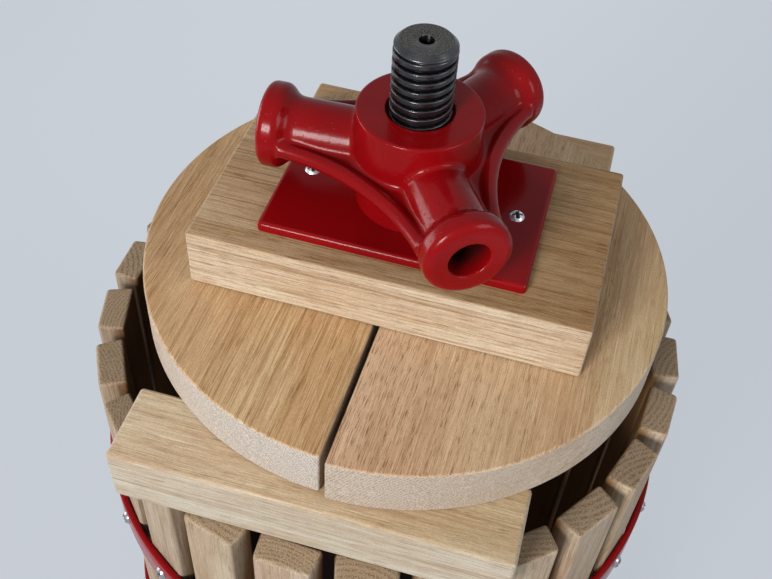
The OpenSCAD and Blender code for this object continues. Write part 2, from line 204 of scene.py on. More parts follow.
class Nodes:
    """A short way to write shader nodes."""

    def __init__(self, name):
        self.material = bpy.data.materials.new(name)
        self.material.use_nodes = True
        self.tree = self.material.node_tree
        self.shader = self.tree.nodes["Principled BSDF"]

    def add(self, kind, **values):
        """A new node with some of its settings."""
        node = self.tree.nodes.new(kind)
        for key, value in values.items():
            setattr(node, key, value)
        return node

    def link(self, source, target):
        self.tree.links.new(source, target)

    def feed(self, socket, value):
        """Sets a socket, by a link from another socket or to a constant."""
        if hasattr(value, "is_output"):
            self.link(value, socket)
        else:
            socket.default_value = value

    def math(self, operation, a, b=0.0, c=0.0, clamp=False):
        node = self.add("ShaderNodeMath", operation=operation, use_clamp=clamp)
        for socket, value in zip(node.inputs, (a, b, c)):
            self.feed(socket, value)
        return node.outputs[0]

    def vector(self, operation, a, b=(0, 0, 0)):
        node = self.add("ShaderNodeVectorMath", operation=operation)
        self.feed(node.inputs[0], a)
        self.feed(node.inputs[1], b)
        return node.outputs["Value"] if operation in ("DOT_PRODUCT", "LENGTH") else node.outputs[0]

    def noise(self, vector, scale=1.0, detail=2.0, roughness=0.5):
        node = self.add("ShaderNodeTexNoise")
        self.feed(node.inputs["Vector"], vector)
        for key, value in (("Scale", scale), ("Detail", detail), ("Roughness", roughness)):
            node.inputs[key].default_value = value
        return node.outputs["Fac"]

    def span(self, value, from_low, from_high, to_low=0.0, to_high=1.0):
        """Maps one range smoothly onto another."""
        node = self.add("ShaderNodeMapRange", interpolation_type="SMOOTHSTEP")
        for socket, item in zip(node.inputs, (value, from_low, from_high, to_low, to_high)):
            self.feed(socket, item)
        return node.outputs[0]

    def mix(self, factor, a, b, blend="MIX"):
        """Mixes two colours."""
        node = self.add("ShaderNodeMix", data_type="RGBA", blend_type=blend)
        for socket, value in zip((node.inputs["Factor"], node.inputs[6], node.inputs[7]), (factor, a, b)):
            self.feed(socket, value)
        return node.outputs[2]

    def bump(self, height, distance, strength):
        node = self.add("ShaderNodeBump")
        node.inputs["Strength"].default_value = strength
        node.inputs["Distance"].default_value = distance
        self.link(height, node.inputs["Height"])
        return node.outputs[0]

    def parts(self, vector):
        """A vector's three components."""
        node = self.add("ShaderNodeSeparateXYZ")
        self.link(vector, node.inputs[0])
        return node.outputs

    def attribute(self, name):
        return self.add("ShaderNodeAttribute", attribute_name=name).outputs["Vector"]

    def object_place(self):
        return self.add("ShaderNodeTexCoord").outputs["Object"]

    def normal(self):
        return self.add("ShaderNodeNewGeometry").outputs["Normal"]

    def set(self, **values):
        """Feeds the shader's inputs, named with _ for a space."""
        for key, value in values.items():
            self.feed(self.shader.inputs[key.replace("_", " ")], value)


def rgb(r, g, b):
    """A colour as it is seen, from 0 to 255, in linear light."""
    def channel(v):
        v /= 255
        return v / 12.92 if v <= 0.04045 else ((v + 0.055) / 1.055) ** 2.4
    return (channel(r), channel(g), channel(b), 1.0)


def oak_material():
    """Planed oak: yearly rings, rows of open pores, fine fibre and pale sanded end grain.

    Each point carries its place in its plank in metres (along the grain, then two ways across), the grain's
    direction, a tint for faces along the grain (partly the wood's own colour, partly painted light) and one
    for end grain, a habit (strength of pores, rings and the end grain's marks), a figure (rings to a metre,
    how far they wander in metres, and pores to a metre along the grain) and its depth: from 0 at a stave's
    inner face to 1, then metres below its top. The depth sets painted shade on the staves' inner faces and
    sides.
    """
    n = Nodes("oak")
    place = n.attribute("grain")
    pore_strength, ring_strength, end_strength = n.parts(n.attribute("habit"))
    ring_rate, wander, pore_rate = n.parts(n.attribute("figure"))
    from_inside, below_top, _ = n.parts(n.attribute("depth"))

    def grain_noise(along, across, **settings):
        """A noise with so many cells to a metre along and across the grain."""
        return n.noise(n.vector("MULTIPLY", place, (along, across, across)), **settings)

    # Painted shade inside the basket: dark on the staves' inner faces and the inner part of their sides,
    # reaching further outwards from 1 to 6 cm below their tops
    reach = n.span(below_top, 0.01, 0.06, 0.0, 0.35)
    soaked = n.span(n.math("SUBTRACT", from_inside, reach), 0.08, 0.65, 1.0, 0.0)
    facing = n.vector("DOT_PRODUCT", n.normal(), n.attribute("grain_direction"))
    end = n.span(n.math("ABSOLUTE", facing), 0.60, 0.92)

    bend = n.math("SUBTRACT", grain_noise(6, 17, detail=2.0), 0.5)
    radius = n.vector("LENGTH", n.vector("MULTIPLY", place, (0.04, 1.0, 1.0)))
    radius = n.math("ADD", radius, n.math("MULTIPLY", bend, wander))
    uneven = n.math("MULTIPLY", grain_noise(2, 60, detail=1.0), 1.6)
    ring = n.math("FRACT", n.math("ADD", n.math("MULTIPLY", radius, ring_rate), uneven))
    early = n.math("MULTIPLY", n.span(ring, 0.0, 0.22), n.span(ring, 0.70, 0.24))

    fibre = grain_noise(30, 1900, detail=2.0, roughness=0.6)
    streak = grain_noise(16, 210, detail=4.0, roughness=0.6)
    lines = grain_noise(4, 520, detail=3.0, roughness=0.55)
    broad = grain_noise(9, 30, detail=3.0)
    grit = grain_noise(900, 2200, detail=1.0)
    dots = grain_noise(130, 1500, detail=1.0)
    stretch = n.add("ShaderNodeCombineXYZ")
    n.link(pore_rate, stretch.inputs[0])
    stretch.inputs[1].default_value = stretch.inputs[2].default_value = PORE_ACROSS
    dashes = n.noise(n.vector("MULTIPLY", place, stretch.outputs[0]), detail=1.0, roughness=0.4)
    row = n.math("FRACT", n.math("MULTIPLY", radius, END_ROWS))
    row = n.math("MULTIPLY", n.span(row, 0.0, 0.35), n.span(row, 0.80, 0.45))
    crowd = n.math("MULTIPLY_ADD", early, 0.45, 0.55)
    pore = n.math("MULTIPLY", n.span(dashes, 0.565, 0.63), crowd)
    pore = n.math("MULTIPLY", pore, pore_strength, clamp=True)
    dot = n.math("MULTIPLY", n.span(dots, 0.42, 0.55), n.math("MULTIPLY_ADD", row, 0.65, 0.35), clamp=True)
    dot = n.math("MULTIPLY", dot, n.math("MULTIPLY_ADD", end_strength, 0.7, 0.42))

    plain = n.mix(n.span(broad, 0.36, 0.64), rgb(208, 176, 138), rgb(196, 157, 118))
    plain = n.mix(n.span(streak, 0.48, 0.68, 0.0, 0.42), plain, rgb(164, 120, 78))
    plain = n.mix(n.math("MULTIPLY", n.math("MULTIPLY", early, ring_strength), 0.6), plain, rgb(160, 116, 58))
    plain = n.mix(n.math("MULTIPLY", n.span(lines, 0.54, 0.61), ring_strength), plain, rgb(146, 102, 58))
    plain = n.mix(n.span(fibre, 0.50, 0.72, 0.0, 0.5), plain, rgb(222, 194, 160))
    plain = n.mix(n.math("MULTIPLY", pore, 0.72), plain, rgb(112, 72, 42))
    # The tint per point: the wood's own colour, with painted light in the difference between tops and sides,
    # the tops' darkening to the right and the right-hand staves' brightening
    plain = n.mix(1.0, plain, n.attribute("tone"), blend="MULTIPLY")
    # Painted shade darkens the staves inside the basket
    plain = n.mix(soaked, plain, STAIN, blend="MULTIPLY")
    sawn_ring = n.math("MULTIPLY", early, n.math("MULTIPLY", end_strength, 0.25))
    sawn = n.mix(sawn_ring, rgb(214, 197, 175), rgb(150, 124, 94))
    sawn = n.mix(dot, sawn, rgb(120, 92, 64))
    sawn = n.mix(1.0, sawn, n.attribute("end_tone"), blend="MULTIPLY")
    colour = n.mix(end, plain, sawn)
    shade = n.math("ADD", n.span(grit, 0.25, 0.75, 0.88, 1.10), n.span(fibre, 0.25, 0.75, -0.06, 0.08))
    grey = n.add("ShaderNodeCombineXYZ")
    for socket in grey.inputs:
        n.link(shade, socket)
    colour = n.mix(1.0, colour, grey.outputs[0], blend="MULTIPLY")
    hollows = n.math("ADD", pore, n.math("MULTIPLY", grit, 0.2))
    relief = n.math("SUBTRACT", n.math("MULTIPLY", fibre, 0.4), hollows)
    n.set(Base_Color=colour, Normal=n.bump(relief, 0.0002, 0.35))
    n.set(Roughness=n.span(fibre, 0.2, 0.8, 0.55, 0.70), Specular_IOR_Level=0.3)
    return n.material


def red_material(name, cast):
    """Glossy red enamel, with the unevenness and small pimples of a casting where cast is more than 0."""
    n = Nodes(name)
    place = n.object_place()
    cloud = n.noise(place, scale=30.0, detail=2.0)
    peel = n.math("MULTIPLY", n.noise(place, scale=230.0, detail=2.0), 0.10 + 0.20 * cast)
    pimples = n.span(n.noise(place, scale=560.0, detail=1.0), 0.66, 0.76)
    bare = n.vector("DOT_PRODUCT", n.attribute("bare"), (1, 0, 0))
    colour = n.mix(n.span(cloud, 0.3, 0.7), rgb(128, 7, 11), rgb(118, 5, 9))
    # Painted shade: darker red deeper inside the lever sockets
    colour = n.mix(bare, colour, rgb(52, 5, 6))
    relief = n.math("ADD", peel, n.math("MULTIPLY", pimples, 0.45 * cast))
    n.set(Base_Color=colour, Normal=n.bump(relief, 0.0009, 0.4))
    n.set(Roughness=n.math("ADD", n.span(cloud, 0.25, 0.75, 0.17, 0.26), n.math("MULTIPLY", bare, 0.3)))
    n.set(Specular_IOR_Level=0.11, Coat_Weight=0.05, Coat_Roughness=0.08)
    return n.material


def steel_material():
    """Turned and oiled steel, with painted shade near black in its thread's roots and centre hole, fine tool
    lines round it and a duller end face.
    """
    n = Nodes("turned_steel")
    place = n.object_place()
    lines = n.noise(n.vector("MULTIPLY", place, (60, 60, 2600)), detail=2.0)
    scratch = n.noise(place, scale=1400.0, detail=2.0)
    cloud = n.noise(place, scale=110.0, detail=4.0, roughness=0.65)
    groove, top, _ = n.parts(n.attribute("groove"))
    colour = n.mix(n.span(cloud, 0.35, 0.68), rgb(84, 84, 87), rgb(66, 66, 69))
    colour = n.mix(n.span(scratch, 0.35, 0.75, 0.0, 0.25), colour, rgb(64, 62, 60))
    # Painted shade: near black in the thread's roots and the centre hole
    colour = n.mix(groove, colour, rgb(9, 9, 11))
    colour = n.mix(top, colour, n.mix(n.span(scratch, 0.36, 0.62), rgb(84, 82, 77), rgb(26, 25, 23)))
    dull = n.math("ADD", n.math("MULTIPLY", groove, 0.95), n.math("MULTIPLY", top, 0.6))
    n.set(Base_Color=colour, Metallic=n.math("MAXIMUM", n.math("SUBTRACT", 0.95, dull), 0.0))
    n.set(Specular_IOR_Level=n.math("MULTIPLY_ADD", groove, -0.42, 0.5))
    n.set(Roughness=n.span(lines, 0.3, 0.7, 0.20, 0.34))
    n.set(Normal=n.bump(n.math("ADD", lines, scratch), 0.0002, 0.12))
    return n.material


def bright_material(name, light, dark, metal):
    """Bright plating with faint clouding between two greys, dull in a screw's recess and darkened there by
    painted shade.
    """
    n = Nodes(name)
    cloud = n.noise(n.object_place(), scale=240.0, detail=3.0)
    groove = n.vector("DOT_PRODUCT", n.attribute("groove"), (1, 0, 0))
    colour = n.mix(cloud, rgb(light, light, light + 4), rgb(dark, dark, dark + 5))
    # Painted shade: near black in the screw's recess
    n.set(Base_Color=n.mix(groove, colour, rgb(8, 8, 9)))
    n.set(Metallic=n.math("MULTIPLY_ADD", groove, -metal, metal))
    n.set(Roughness=n.math("ADD", n.span(cloud, 0.3, 0.7, 0.22, 0.34), n.math("MULTIPLY", groove, 0.5)))
    return n.material


def stained_material():
    """Red enamel, dull all over, with painted shade darkening its upper face to a dark brown."""
    n = Nodes("stained_enamel")
    upward = n.vector("DOT_PRODUCT", n.normal(), (0, 0, 1))
    cloud = n.noise(n.object_place(), scale=26.0, detail=4.0, roughness=0.6)
    # Painted shade for the upper faces under the basket
    stain = n.mix(n.span(cloud, 0.35, 0.65), rgb(52, 16, 15), rgb(36, 17, 15))
    n.set(Base_Color=n.mix(n.span(upward, 0.3, 0.7), rgb(124, 6, 10), stain))
    n.set(Roughness=n.span(cloud, 0.3, 0.7, 0.35, 0.55))
    return n.material


def rubber_material():
    """Matt black rubber with a fine grain."""
    n = Nodes("seal_rubber")
    grain = n.noise(n.object_place(), scale=900.0, detail=2.0)
    n.set(Base_Color=n.mix(grain, rgb(26, 26, 27), rgb(40, 40, 41)), Normal=n.bump(grain, 0.0002, 0.3))
    n.set(Roughness=0.7)
    return n.material


OAK = oak_material()
RED = red_material("red_enamel", 0.12)
CAST_RED = red_material("red_enamel_cast", 0.9)
STEEL = steel_material()
# One plating in two copies, lighter and less metallic on the plate screws, darker on the hoop screws, bolts
# and nuts: the difference is painted light
BRIGHT = bright_material("bright_plating", 228, 204, 0.55)
DULL = bright_material("dull_plating", 178, 142, 0.85)
STAINED = stained_material()
RUBBER = rubber_material()


# Wood

def add_layer(mesh, name, values):
    """Stores a vector for each point of a mesh."""
    layer = mesh.attributes.new(name, "FLOAT_VECTOR", "POINT")
    layer.data.foreach_set("vector", np.ascontiguousarray(values, dtype=np.float32).ravel())


def points_of(mesh):
    """A mesh's points in metres."""
    points = np.empty(len(mesh.vertices) * 3)
    mesh.vertices.foreach_get("co", points)
    return points.reshape(-1, 3)


class Plank:
    """How a piece was cut and tinted: the pith's offset (mm), a seed, its faces' tints (partly painted
    light), habit and figure.
    """

    def __init__(self, pith, seed, top, end, habit, figure, top_right=None, side=None, habit_right=None):
        self.pith, self.seed, self.figure = pith, seed, figure
        self.top, self.end, self.habit = np.array(top), np.array(end), np.array(habit)
        self.top_right = self.top if top_right is None else np.array(top_right)
        self.side = self.top if side is None else np.array(side)
        self.habit_right = self.habit if habit_right is None else np.array(habit_right)

    def tones(self, points):
        """A tint for each point: one for the sides, and one for the top that changes from left to right. The
        difference between sides and top and the top's darkening to the right are painted light.
        """
        top = self.top + (self.top_right - self.top) * self.share(points)
        ease = 0.9 * BOARD_EASE * MM
        on_top = np.clip((points[:, 2] - points[:, 2].max() + ease) / ease, 0, 1)[:, None]
        return self.side * (1 - on_top) + top * on_top

    def habits(self, points):
        """A habit for each point, which changes from left to right."""
        return self.habit + (self.habit_right - self.habit) * self.share(points)

    @staticmethod
    def share(points):
        """How far each point lies from the piece's left end to its right end: 0 to 1."""
        low, high = points[:, 0].min(), points[:, 0].max()
        return ((points[:, 0] - low) / (high - low))[:, None]


def set_grain(obj, along, across, plank, depth=(1.0, 0.0, 0.0)):
    """Gives every point its place in the plank, its grain's direction, its tints, its habit and its depth."""
    along = Vector(along).normalized()
    across = Vector(across).normalized()
    ways = np.array([along, across, along.cross(across)])
    points = points_of(obj.data)
    local = (points - points.mean(0)) @ ways.T
    local += np.array([random.Random(plank.seed).uniform(0.0, 3.0), plank.pith[0] * MM, plank.pith[1] * MM])
    add_layer(obj.data, "grain", local)
    add_layer(obj.data, "tone", plank.tones(points))
    add_layer(obj.data, "habit", plank.habits(points))
    add_layer(obj.data, "depth", np.broadcast_to(depth, (len(points), 3)))
    for name, value in (("grain_direction", along), ("end_tone", plank.end), ("figure", plank.figure)):
        add_layer(obj.data, name, np.tile(np.asarray(value, float), (len(points), 1)))


def wooden_bar(node, turn, plank):
    """A straight bar across the basket's rim."""
    low, high = node_box(node)
    middle = (low + high) / 2
    corners = [(x * BAR_L / 2, y * BAR_W / 2) for x, y in ((-1, -1), (1, -1), (1, 1), (-1, 1))]
    obj = prism(node + "_oak", turned(corners, turn, middle[0], middle[1]), low[2], high[2])
    bevel(obj, BAR_EASE)
    a = math.radians(turn)
    set_grain(obj, (math.cos(a), math.sin(a), 0), (-math.sin(a), math.cos(a), 0), plank)
    dress(obj, node, node, OAK)


def wooden_block(node, body, plank):
    """The pressing block, with its passage for the spindle."""
    low, high = node_box(node)
    rays = arc(0, 0, 1, 0, 360, 97)[:-1]
    hole = [(WOOD_HOLE_R * x, WOOD_HOLE_R * y) for x, y in rays]
    never = 1e9
    outer = []
    for x, y in rays:
        reach_x = (high[0] if x > 0 else low[0]) / x if abs(x) > 1 / never else never
        reach_y = (high[1] if y > 0 else low[1]) / y if abs(y) > 1 / never else never
        outer.append((x * min(reach_x, reach_y), y * min(reach_x, reach_y)))
    for corner in ((low[0], low[1]), (high[0], low[1]), (high[0], high[1]), (low[0], high[1])):
        gaps = [math.dist(corner, point) for point in outer]
        outer[gaps.index(min(gaps))] = corner
    obj = slab(node + "_oak", [(outer, low[2]), (outer, high[2]), (hole, high[2]), (hole, low[2])])
    bevel(obj, BLOCK_EASE)
    set_grain(obj, (1, 0, 0), (0, 1, 0), plank)
    dress(obj, node, body, OAK)


def half_board(node, side, plank):
    """One half of the round pressing board, with its half of the spindle's passage."""
    low, high = node_box(node)
    gap = SPLIT_GAP / 2
    tip = math.degrees(math.acos(gap / BOARD_R))
    notch = math.degrees(math.acos(gap / WOOD_HOLE_R))
    outline = arc(0, 0, BOARD_R, -tip, tip, 121) + arc(0, 0, WOOD_HOLE_R, notch, -notch, 25)
    if side < 0:
        outline = [(-x, y) for x, y in outline][::-1]
    outline = turned(outline, BOARD_TURN, 0, (high[1] + low[1]) / 2)
    obj = prism(node + "_oak", outline, low[2], high[2])
    bevel(obj, BOARD_EASE)
    a = math.radians(BOARD_TURN)
    set_grain(obj, (-math.sin(a), math.cos(a), 0), (math.cos(a), math.sin(a), 0), plank)
    dress(obj, node, node, OAK)


def stave(index):
    """One upright stave, narrower outside, with its own cut and tint."""
    node = f"stave_{index:02d}"
    low, high = node_box(node)
    turn = math.radians(BASKET_TURN + 360 / STAVE_COUNT * (index - 1))
    out = np.array([math.cos(turn), math.sin(turn)])
    side = np.array([-math.sin(turn), math.cos(turn)])
    centre = np.array([BASKET_X, BASKET_Y])
    inner, outer = STAVE_INNER_W / 2, STAVE_OUTER_W / 2
    corners = ((0, -inner), (STAVE_T, -outer), (STAVE_T, outer), (0, inner))
    outline = [tuple(centre + out * (STAVE_INNER_R + t) + side * w) for t, w in corners]
    obj = prism(node + "_oak", outline, low[2], high[2])
    bevel(obj, STAVE_EASE)

    points = points_of(obj.data)
    from_inside = ((points[:, :2] / MM - centre) @ out - STAVE_INNER_R) / STAVE_T
    below_top = points[:, 2].max() - points[:, 2]
    depth = np.stack([np.clip(from_inside, 0, 1), below_top, np.zeros(len(points))], 1)

    rng = random.Random(100 + index)
    # A random tint, times painted light that brightens the staves on the right (+X) side
    shade = rng.uniform(0.98, 1.10) * (1 + 0.13 * math.cos(turn))
    tint = shade * np.array(STAVE_TINT) * [1, rng.uniform(0.99, 1.02), rng.uniform(0.97, 1.05)]
    pith = (rng.uniform(-25, 25), rng.choice((-1, 1)) * rng.uniform(30, 90))
    end = rng.uniform(0.36, 0.54) * np.array(STAVE_END_TINT)
    figure = (rng.uniform(360, 520), 0.002, 110)
    plank = Plank(pith, seed=300 + index, top=tint, end=end, habit=(0.5, 0.30, 0.42), figure=figure)
    set_grain(obj, (0, 0, 1), (*side, 0), plank, depth)
    dress(obj, node, "basket", OAK)


for number in range(1, STAVE_COUNT + 1):
    stave(number)
# For the bars, boards and block, the side tints' difference from the top tints and the tops' darker right
# ends are painted light
wooden_bar("front_bar", FRONT_BAR_TURN, Plank(
    pith=(6, -55), seed=11, habit=(0.6, 0.25, 0.15), figure=(300, 0.006, 90),
    top=(0.94, 1.12, 1.34), top_right=(0.76, 0.84, 0.86), side=(0.70, 0.92, 1.26), end=(0.8, 0.8, 0.8)))
wooden_bar("rear_bar", 0.0, Plank(
    pith=(-10, -70), seed=12, habit=(0.5, 0.25, 0.15), figure=(240, 0.01, 110),
    top=(0.86, 0.86, 0.84), end=(0.7, 0.7, 0.7)))
half_board("left_board", -1, Plank(
    pith=(20, -62), seed=13, habit=(0.90, 0.42, 0.35), figure=(200, 0.018, 62),
    top=(0.90, 0.92, 0.90), top_right=(0.90, 0.90, 0.80), side=(0.77, 0.95, 1.32), end=(0.73, 0.80, 0.94)))
half_board("right_board", 1, Plank(
    pith=(-48, -80), seed=14, habit=(1.20, 0.16, 0.25), habit_right=(0.35, 0.25, 0.10),
    figure=(210, 0.010, 130),
    top=(0.90, 0.88, 0.94), top_right=(0.82, 0.88, 0.86), side=(0.78, 0.96, 1.29), end=(0.66, 0.67, 0.72)))
wooden_block("press_block", "press_head", Plank(
    pith=(30, -150), seed=15, habit=(0.8, 0.55, 0.2), figure=(420, 0.004, 90),
    top=(0.78, 0.81, 0.82), top_right=(0.52, 0.48, 0.38), side=(0.84, 1.01, 1.28), end=(0.46, 0.43, 0.38)))


# Cast nut, as one smooth body worked out on a grid

def soft_min(a, b, blend):
    """The nearer of two shapes, melted into each other where they meet."""
    overlap = np.maximum(blend - np.abs(a - b), 0) / blend
    return np.minimum(a, b) - overlap * overlap * blend / 4


def soft_max(a, b, blend):
    """What two shapes share, with the edge between them eased."""
    return -soft_min(-a, -b, blend)


def rounded_drum(radial, axial, radius, low, high, ease):
    """Distance to a drum with rounded rims, from the distance to its axis and the place along it."""
    u = radial - (radius - ease)
    v = np.abs(axial - (low + high) / 2) - ((high - low) / 2 - ease)
    return np.minimum(np.maximum(u, v), 0) + np.hypot(np.maximum(u, 0), np.maximum(v, 0)) - ease


class NutShape:
    """The nut's measures, in millimetres above the wear plate, and its signed distance."""

    height = 55.0
    hub_r, hub_low, hub_flare, hub_ease = 30.8, 27.0, 1.2, 1.1
    foot_r, foot_h, foot_ease = 29.3, 34.0, 0.8
    arm_axis, arm_r, arm_l = 29.0, 16.0, 70.0
    collar_reach, collar_r, collar_w, collar_ease = 77.0, 21.2, 12.0, 4.2
    socket_r, socket_l = 10.0, 43.0
    web_half, web_r, web_reach, web_inset = 1.9, 61.0, 41.6, 2.0
    hollow_r, bead_r, bead_end_r = 110.5, 4.0, 68.0
    bore_r, mouth_r, mouth_depth = 15.05, 16.5, 4.0
    # Painted shade inside the lever sockets: how far in from the mouth it starts, the length over which it
    # deepens, the room beyond the socket's wall, and the least distance along the arm
    bare_from, bare_l, bare_room, bare_end = 1.5, 9.0, 0.2, 25.0

    # How far shapes melt into each other where they meet
    bead_blend, collar_blend, arm_blend, web_blend, foot_blend = 1.4, 7.0, 2.6, 3.0, 2.5
    bore_blend, socket_blend = 0.5, 1.2

    def from_arms(self, p):
        """For each arm, how far points lie along it and off its axis."""
        for k in range(3):
            a = math.radians(FIRST_ARM + 120 * k)
            along = p[..., 0] * math.cos(a) + p[..., 1] * math.sin(a)
            off = np.hypot(p[..., 1] * math.cos(a) - p[..., 0] * math.sin(a), p[..., 2] - self.arm_axis)
            yield along, off

    def bare(self, p):
        """How deep a point lies in a lever socket, for the painted shade inside it: 0 to 1."""
        share = np.zeros(len(p))
        for along, off in self.from_arms(p):
            deep = np.clip((self.collar_reach - self.bare_from - along) / self.bare_l, 0, 1)
            in_socket = (off < self.socket_r + self.bare_room) & (along > self.bare_end)
            share = np.maximum(share, np.where(in_socket, deep, 0))
        return share

    def distance(self, p):
        """How far points lie outside the casting, or inside it where the value is below 0."""
        x, y, z = p[..., 0], p[..., 1], p[..., 2]
        rho = np.hypot(x, y)
        flare = self.hub_flare * np.clip((self.height - z) / (self.height - self.hub_low), 0, 1)
        hub = rounded_drum(rho - flare, z, self.hub_r, self.hub_low, self.height, self.hub_ease)
        foot = rounded_drum(rho, z, self.foot_r, 0.0, self.foot_h, self.foot_ease)
        web = np.maximum(np.abs(z - self.arm_axis) - self.web_half, rho - self.web_r)
        beads, arms, sockets = (np.full_like(x, np.inf) for _ in range(3))
        centre = self.web_reach + self.hollow_r
        for k in range(3):
            a = math.radians(FIRST_ARM + 60 + 120 * k)
            far = np.hypot(x - centre * math.cos(a), y - centre * math.sin(a))
            web = np.maximum(web, self.hollow_r + self.web_inset - far)
            edge = np.hypot(far - self.hollow_r - self.bead_r, z - self.arm_axis) - self.bead_r
            beads = np.minimum(beads, np.maximum(edge, rho - self.bead_end_r))
        web = soft_min(web, beads, self.bead_blend)
        collar_low, socket_low = self.collar_reach - self.collar_w, self.collar_reach - self.socket_l
        for along, off in self.from_arms(p):
            tube = np.maximum(off - self.arm_r, np.maximum(along - self.arm_l, -along))
            collar = rounded_drum(off, along, self.collar_r, collar_low, self.collar_reach, self.collar_ease)
            arms = np.minimum(arms, soft_min(tube, collar, self.collar_blend))
            sockets = np.minimum(sockets, np.maximum(off - self.socket_r, socket_low - along))
        body = soft_min(soft_min(hub, arms, self.arm_blend), web, self.web_blend)
        shape = soft_min(foot, body, self.foot_blend)
        mouth = np.maximum(rho - self.mouth_r, self.height - self.mouth_depth - z)
        bore = np.minimum(rho - self.bore_r, mouth)
        shape = soft_max(shape, -bore, self.bore_blend)
        return soft_max(shape, -sockets, self.socket_blend)


def surface_of(distance, low, high, step):
    """Points and faces of a distance's zero surface: one point for each grid cell that it crosses."""
    axes = [np.arange(a, b + step, step) for a, b in zip(low, high)]
    grid = np.stack(np.meshgrid(*axes, indexing="ij"), axis=-1)
    value = distance(grid)
    inside = value < 0
    shape = np.array(value.shape)
    corner = [(i, j, k) for i in (0, 1) for j in (0, 1) for k in (0, 1)]

    def shifted(array, offset):
        return array[tuple(slice(o, o + n - 1) for o, n in zip(offset, shape))]

    filled = sum(shifted(inside, c).astype(np.int8) for c in corner)
    cells = np.argwhere((filled > 0) & (filled < 8))
    number = np.full(shape - 1, -1, np.int64)
    number[tuple(cells.T)] = np.arange(len(cells))
    values = np.stack([value[tuple((cells + c).T)] for c in corner], axis=1)
    total = np.zeros((len(cells), 3))
    hits = np.zeros(len(cells))
    for a in range(8):
        for b in range(a + 1, 8):
            gap = np.subtract(corner[b], corner[a])
            if np.abs(gap).sum() != 1:
                continue
            crossed = (values[:, a] < 0) != (values[:, b] < 0)
            share = np.where(crossed, values[:, a] / np.where(crossed, values[:, a] - values[:, b], 1), 0)
            total += np.where(crossed[:, None], np.array(corner[a]) + share[:, None] * gap, 0)
            hits += crossed
    points = np.array(low) + (cells + total / hits[:, None]) * step

    faces = []
    for axis in range(3):
        u, v = (axis + 1) % 3, (axis + 2) % 3
        here = [slice(1, -1)] * 3
        here[axis] = slice(0, -1)
        there = list(here)
        there[axis] = slice(1, None)
        start, end = inside[tuple(here)], inside[tuple(there)]
        for entering in (True, False):
            found = np.argwhere((start & ~end) if entering else (~start & end))
            found += np.array([0 if i == axis else 1 for i in range(3)])
            quad = []
            for du, dv in ((0, 0), (1, 0), (1, 1), (0, 1)):
                cell = found.copy()
                cell[:, u] -= du
                cell[:, v] -= dv
                quad.append(number[tuple(cell.T)])
            quad = np.stack(quad if not entering else quad[::-1], axis=1)
            faces.append(quad[(quad >= 0).all(axis=1)])
    return points, np.concatenate(faces)


def settle(points, distance, rounds=3, step=0.05):
    """Moves points onto the zero surface along its slope."""
    least_size, longest_move = 0.2, 0.5
    for _ in range(rounds):
        slope = np.stack([(distance(points + step * e) - distance(points - step * e)) / (2 * step)
                          for e in np.eye(3)], axis=1)
        size = np.maximum((slope ** 2).sum(axis=1), least_size)
        move = slope * (distance(points) / size)[:, None]
        points = points - np.clip(move, -longest_move, longest_move)
    return points


def cast_nut():
    """The casting as one mesh, with the insides of its sockets marked for painted shade."""
    shape = NutShape()
    base = node_box("press_nut")[0][2]
    reach, below, above, cell = 84.0, -2.0, 58.0, 0.9
    points, faces = surface_of(shape.distance, (-reach, -reach, below), (reach, reach, above), cell)
    points = settle(points, shape.distance)
    points[:, 2] = np.clip(points[:, 2], 0.0, shape.height) + base
    obj = mesh_from("press_nut_casting", points, faces)
    add_layer(obj.data, "bare", np.repeat(shape.bare(points - (0, 0, base))[:, None], 3, 1))
    dress(obj, "press_nut", "nut", CAST_RED)


cast_nut()


# Spindle with its thread

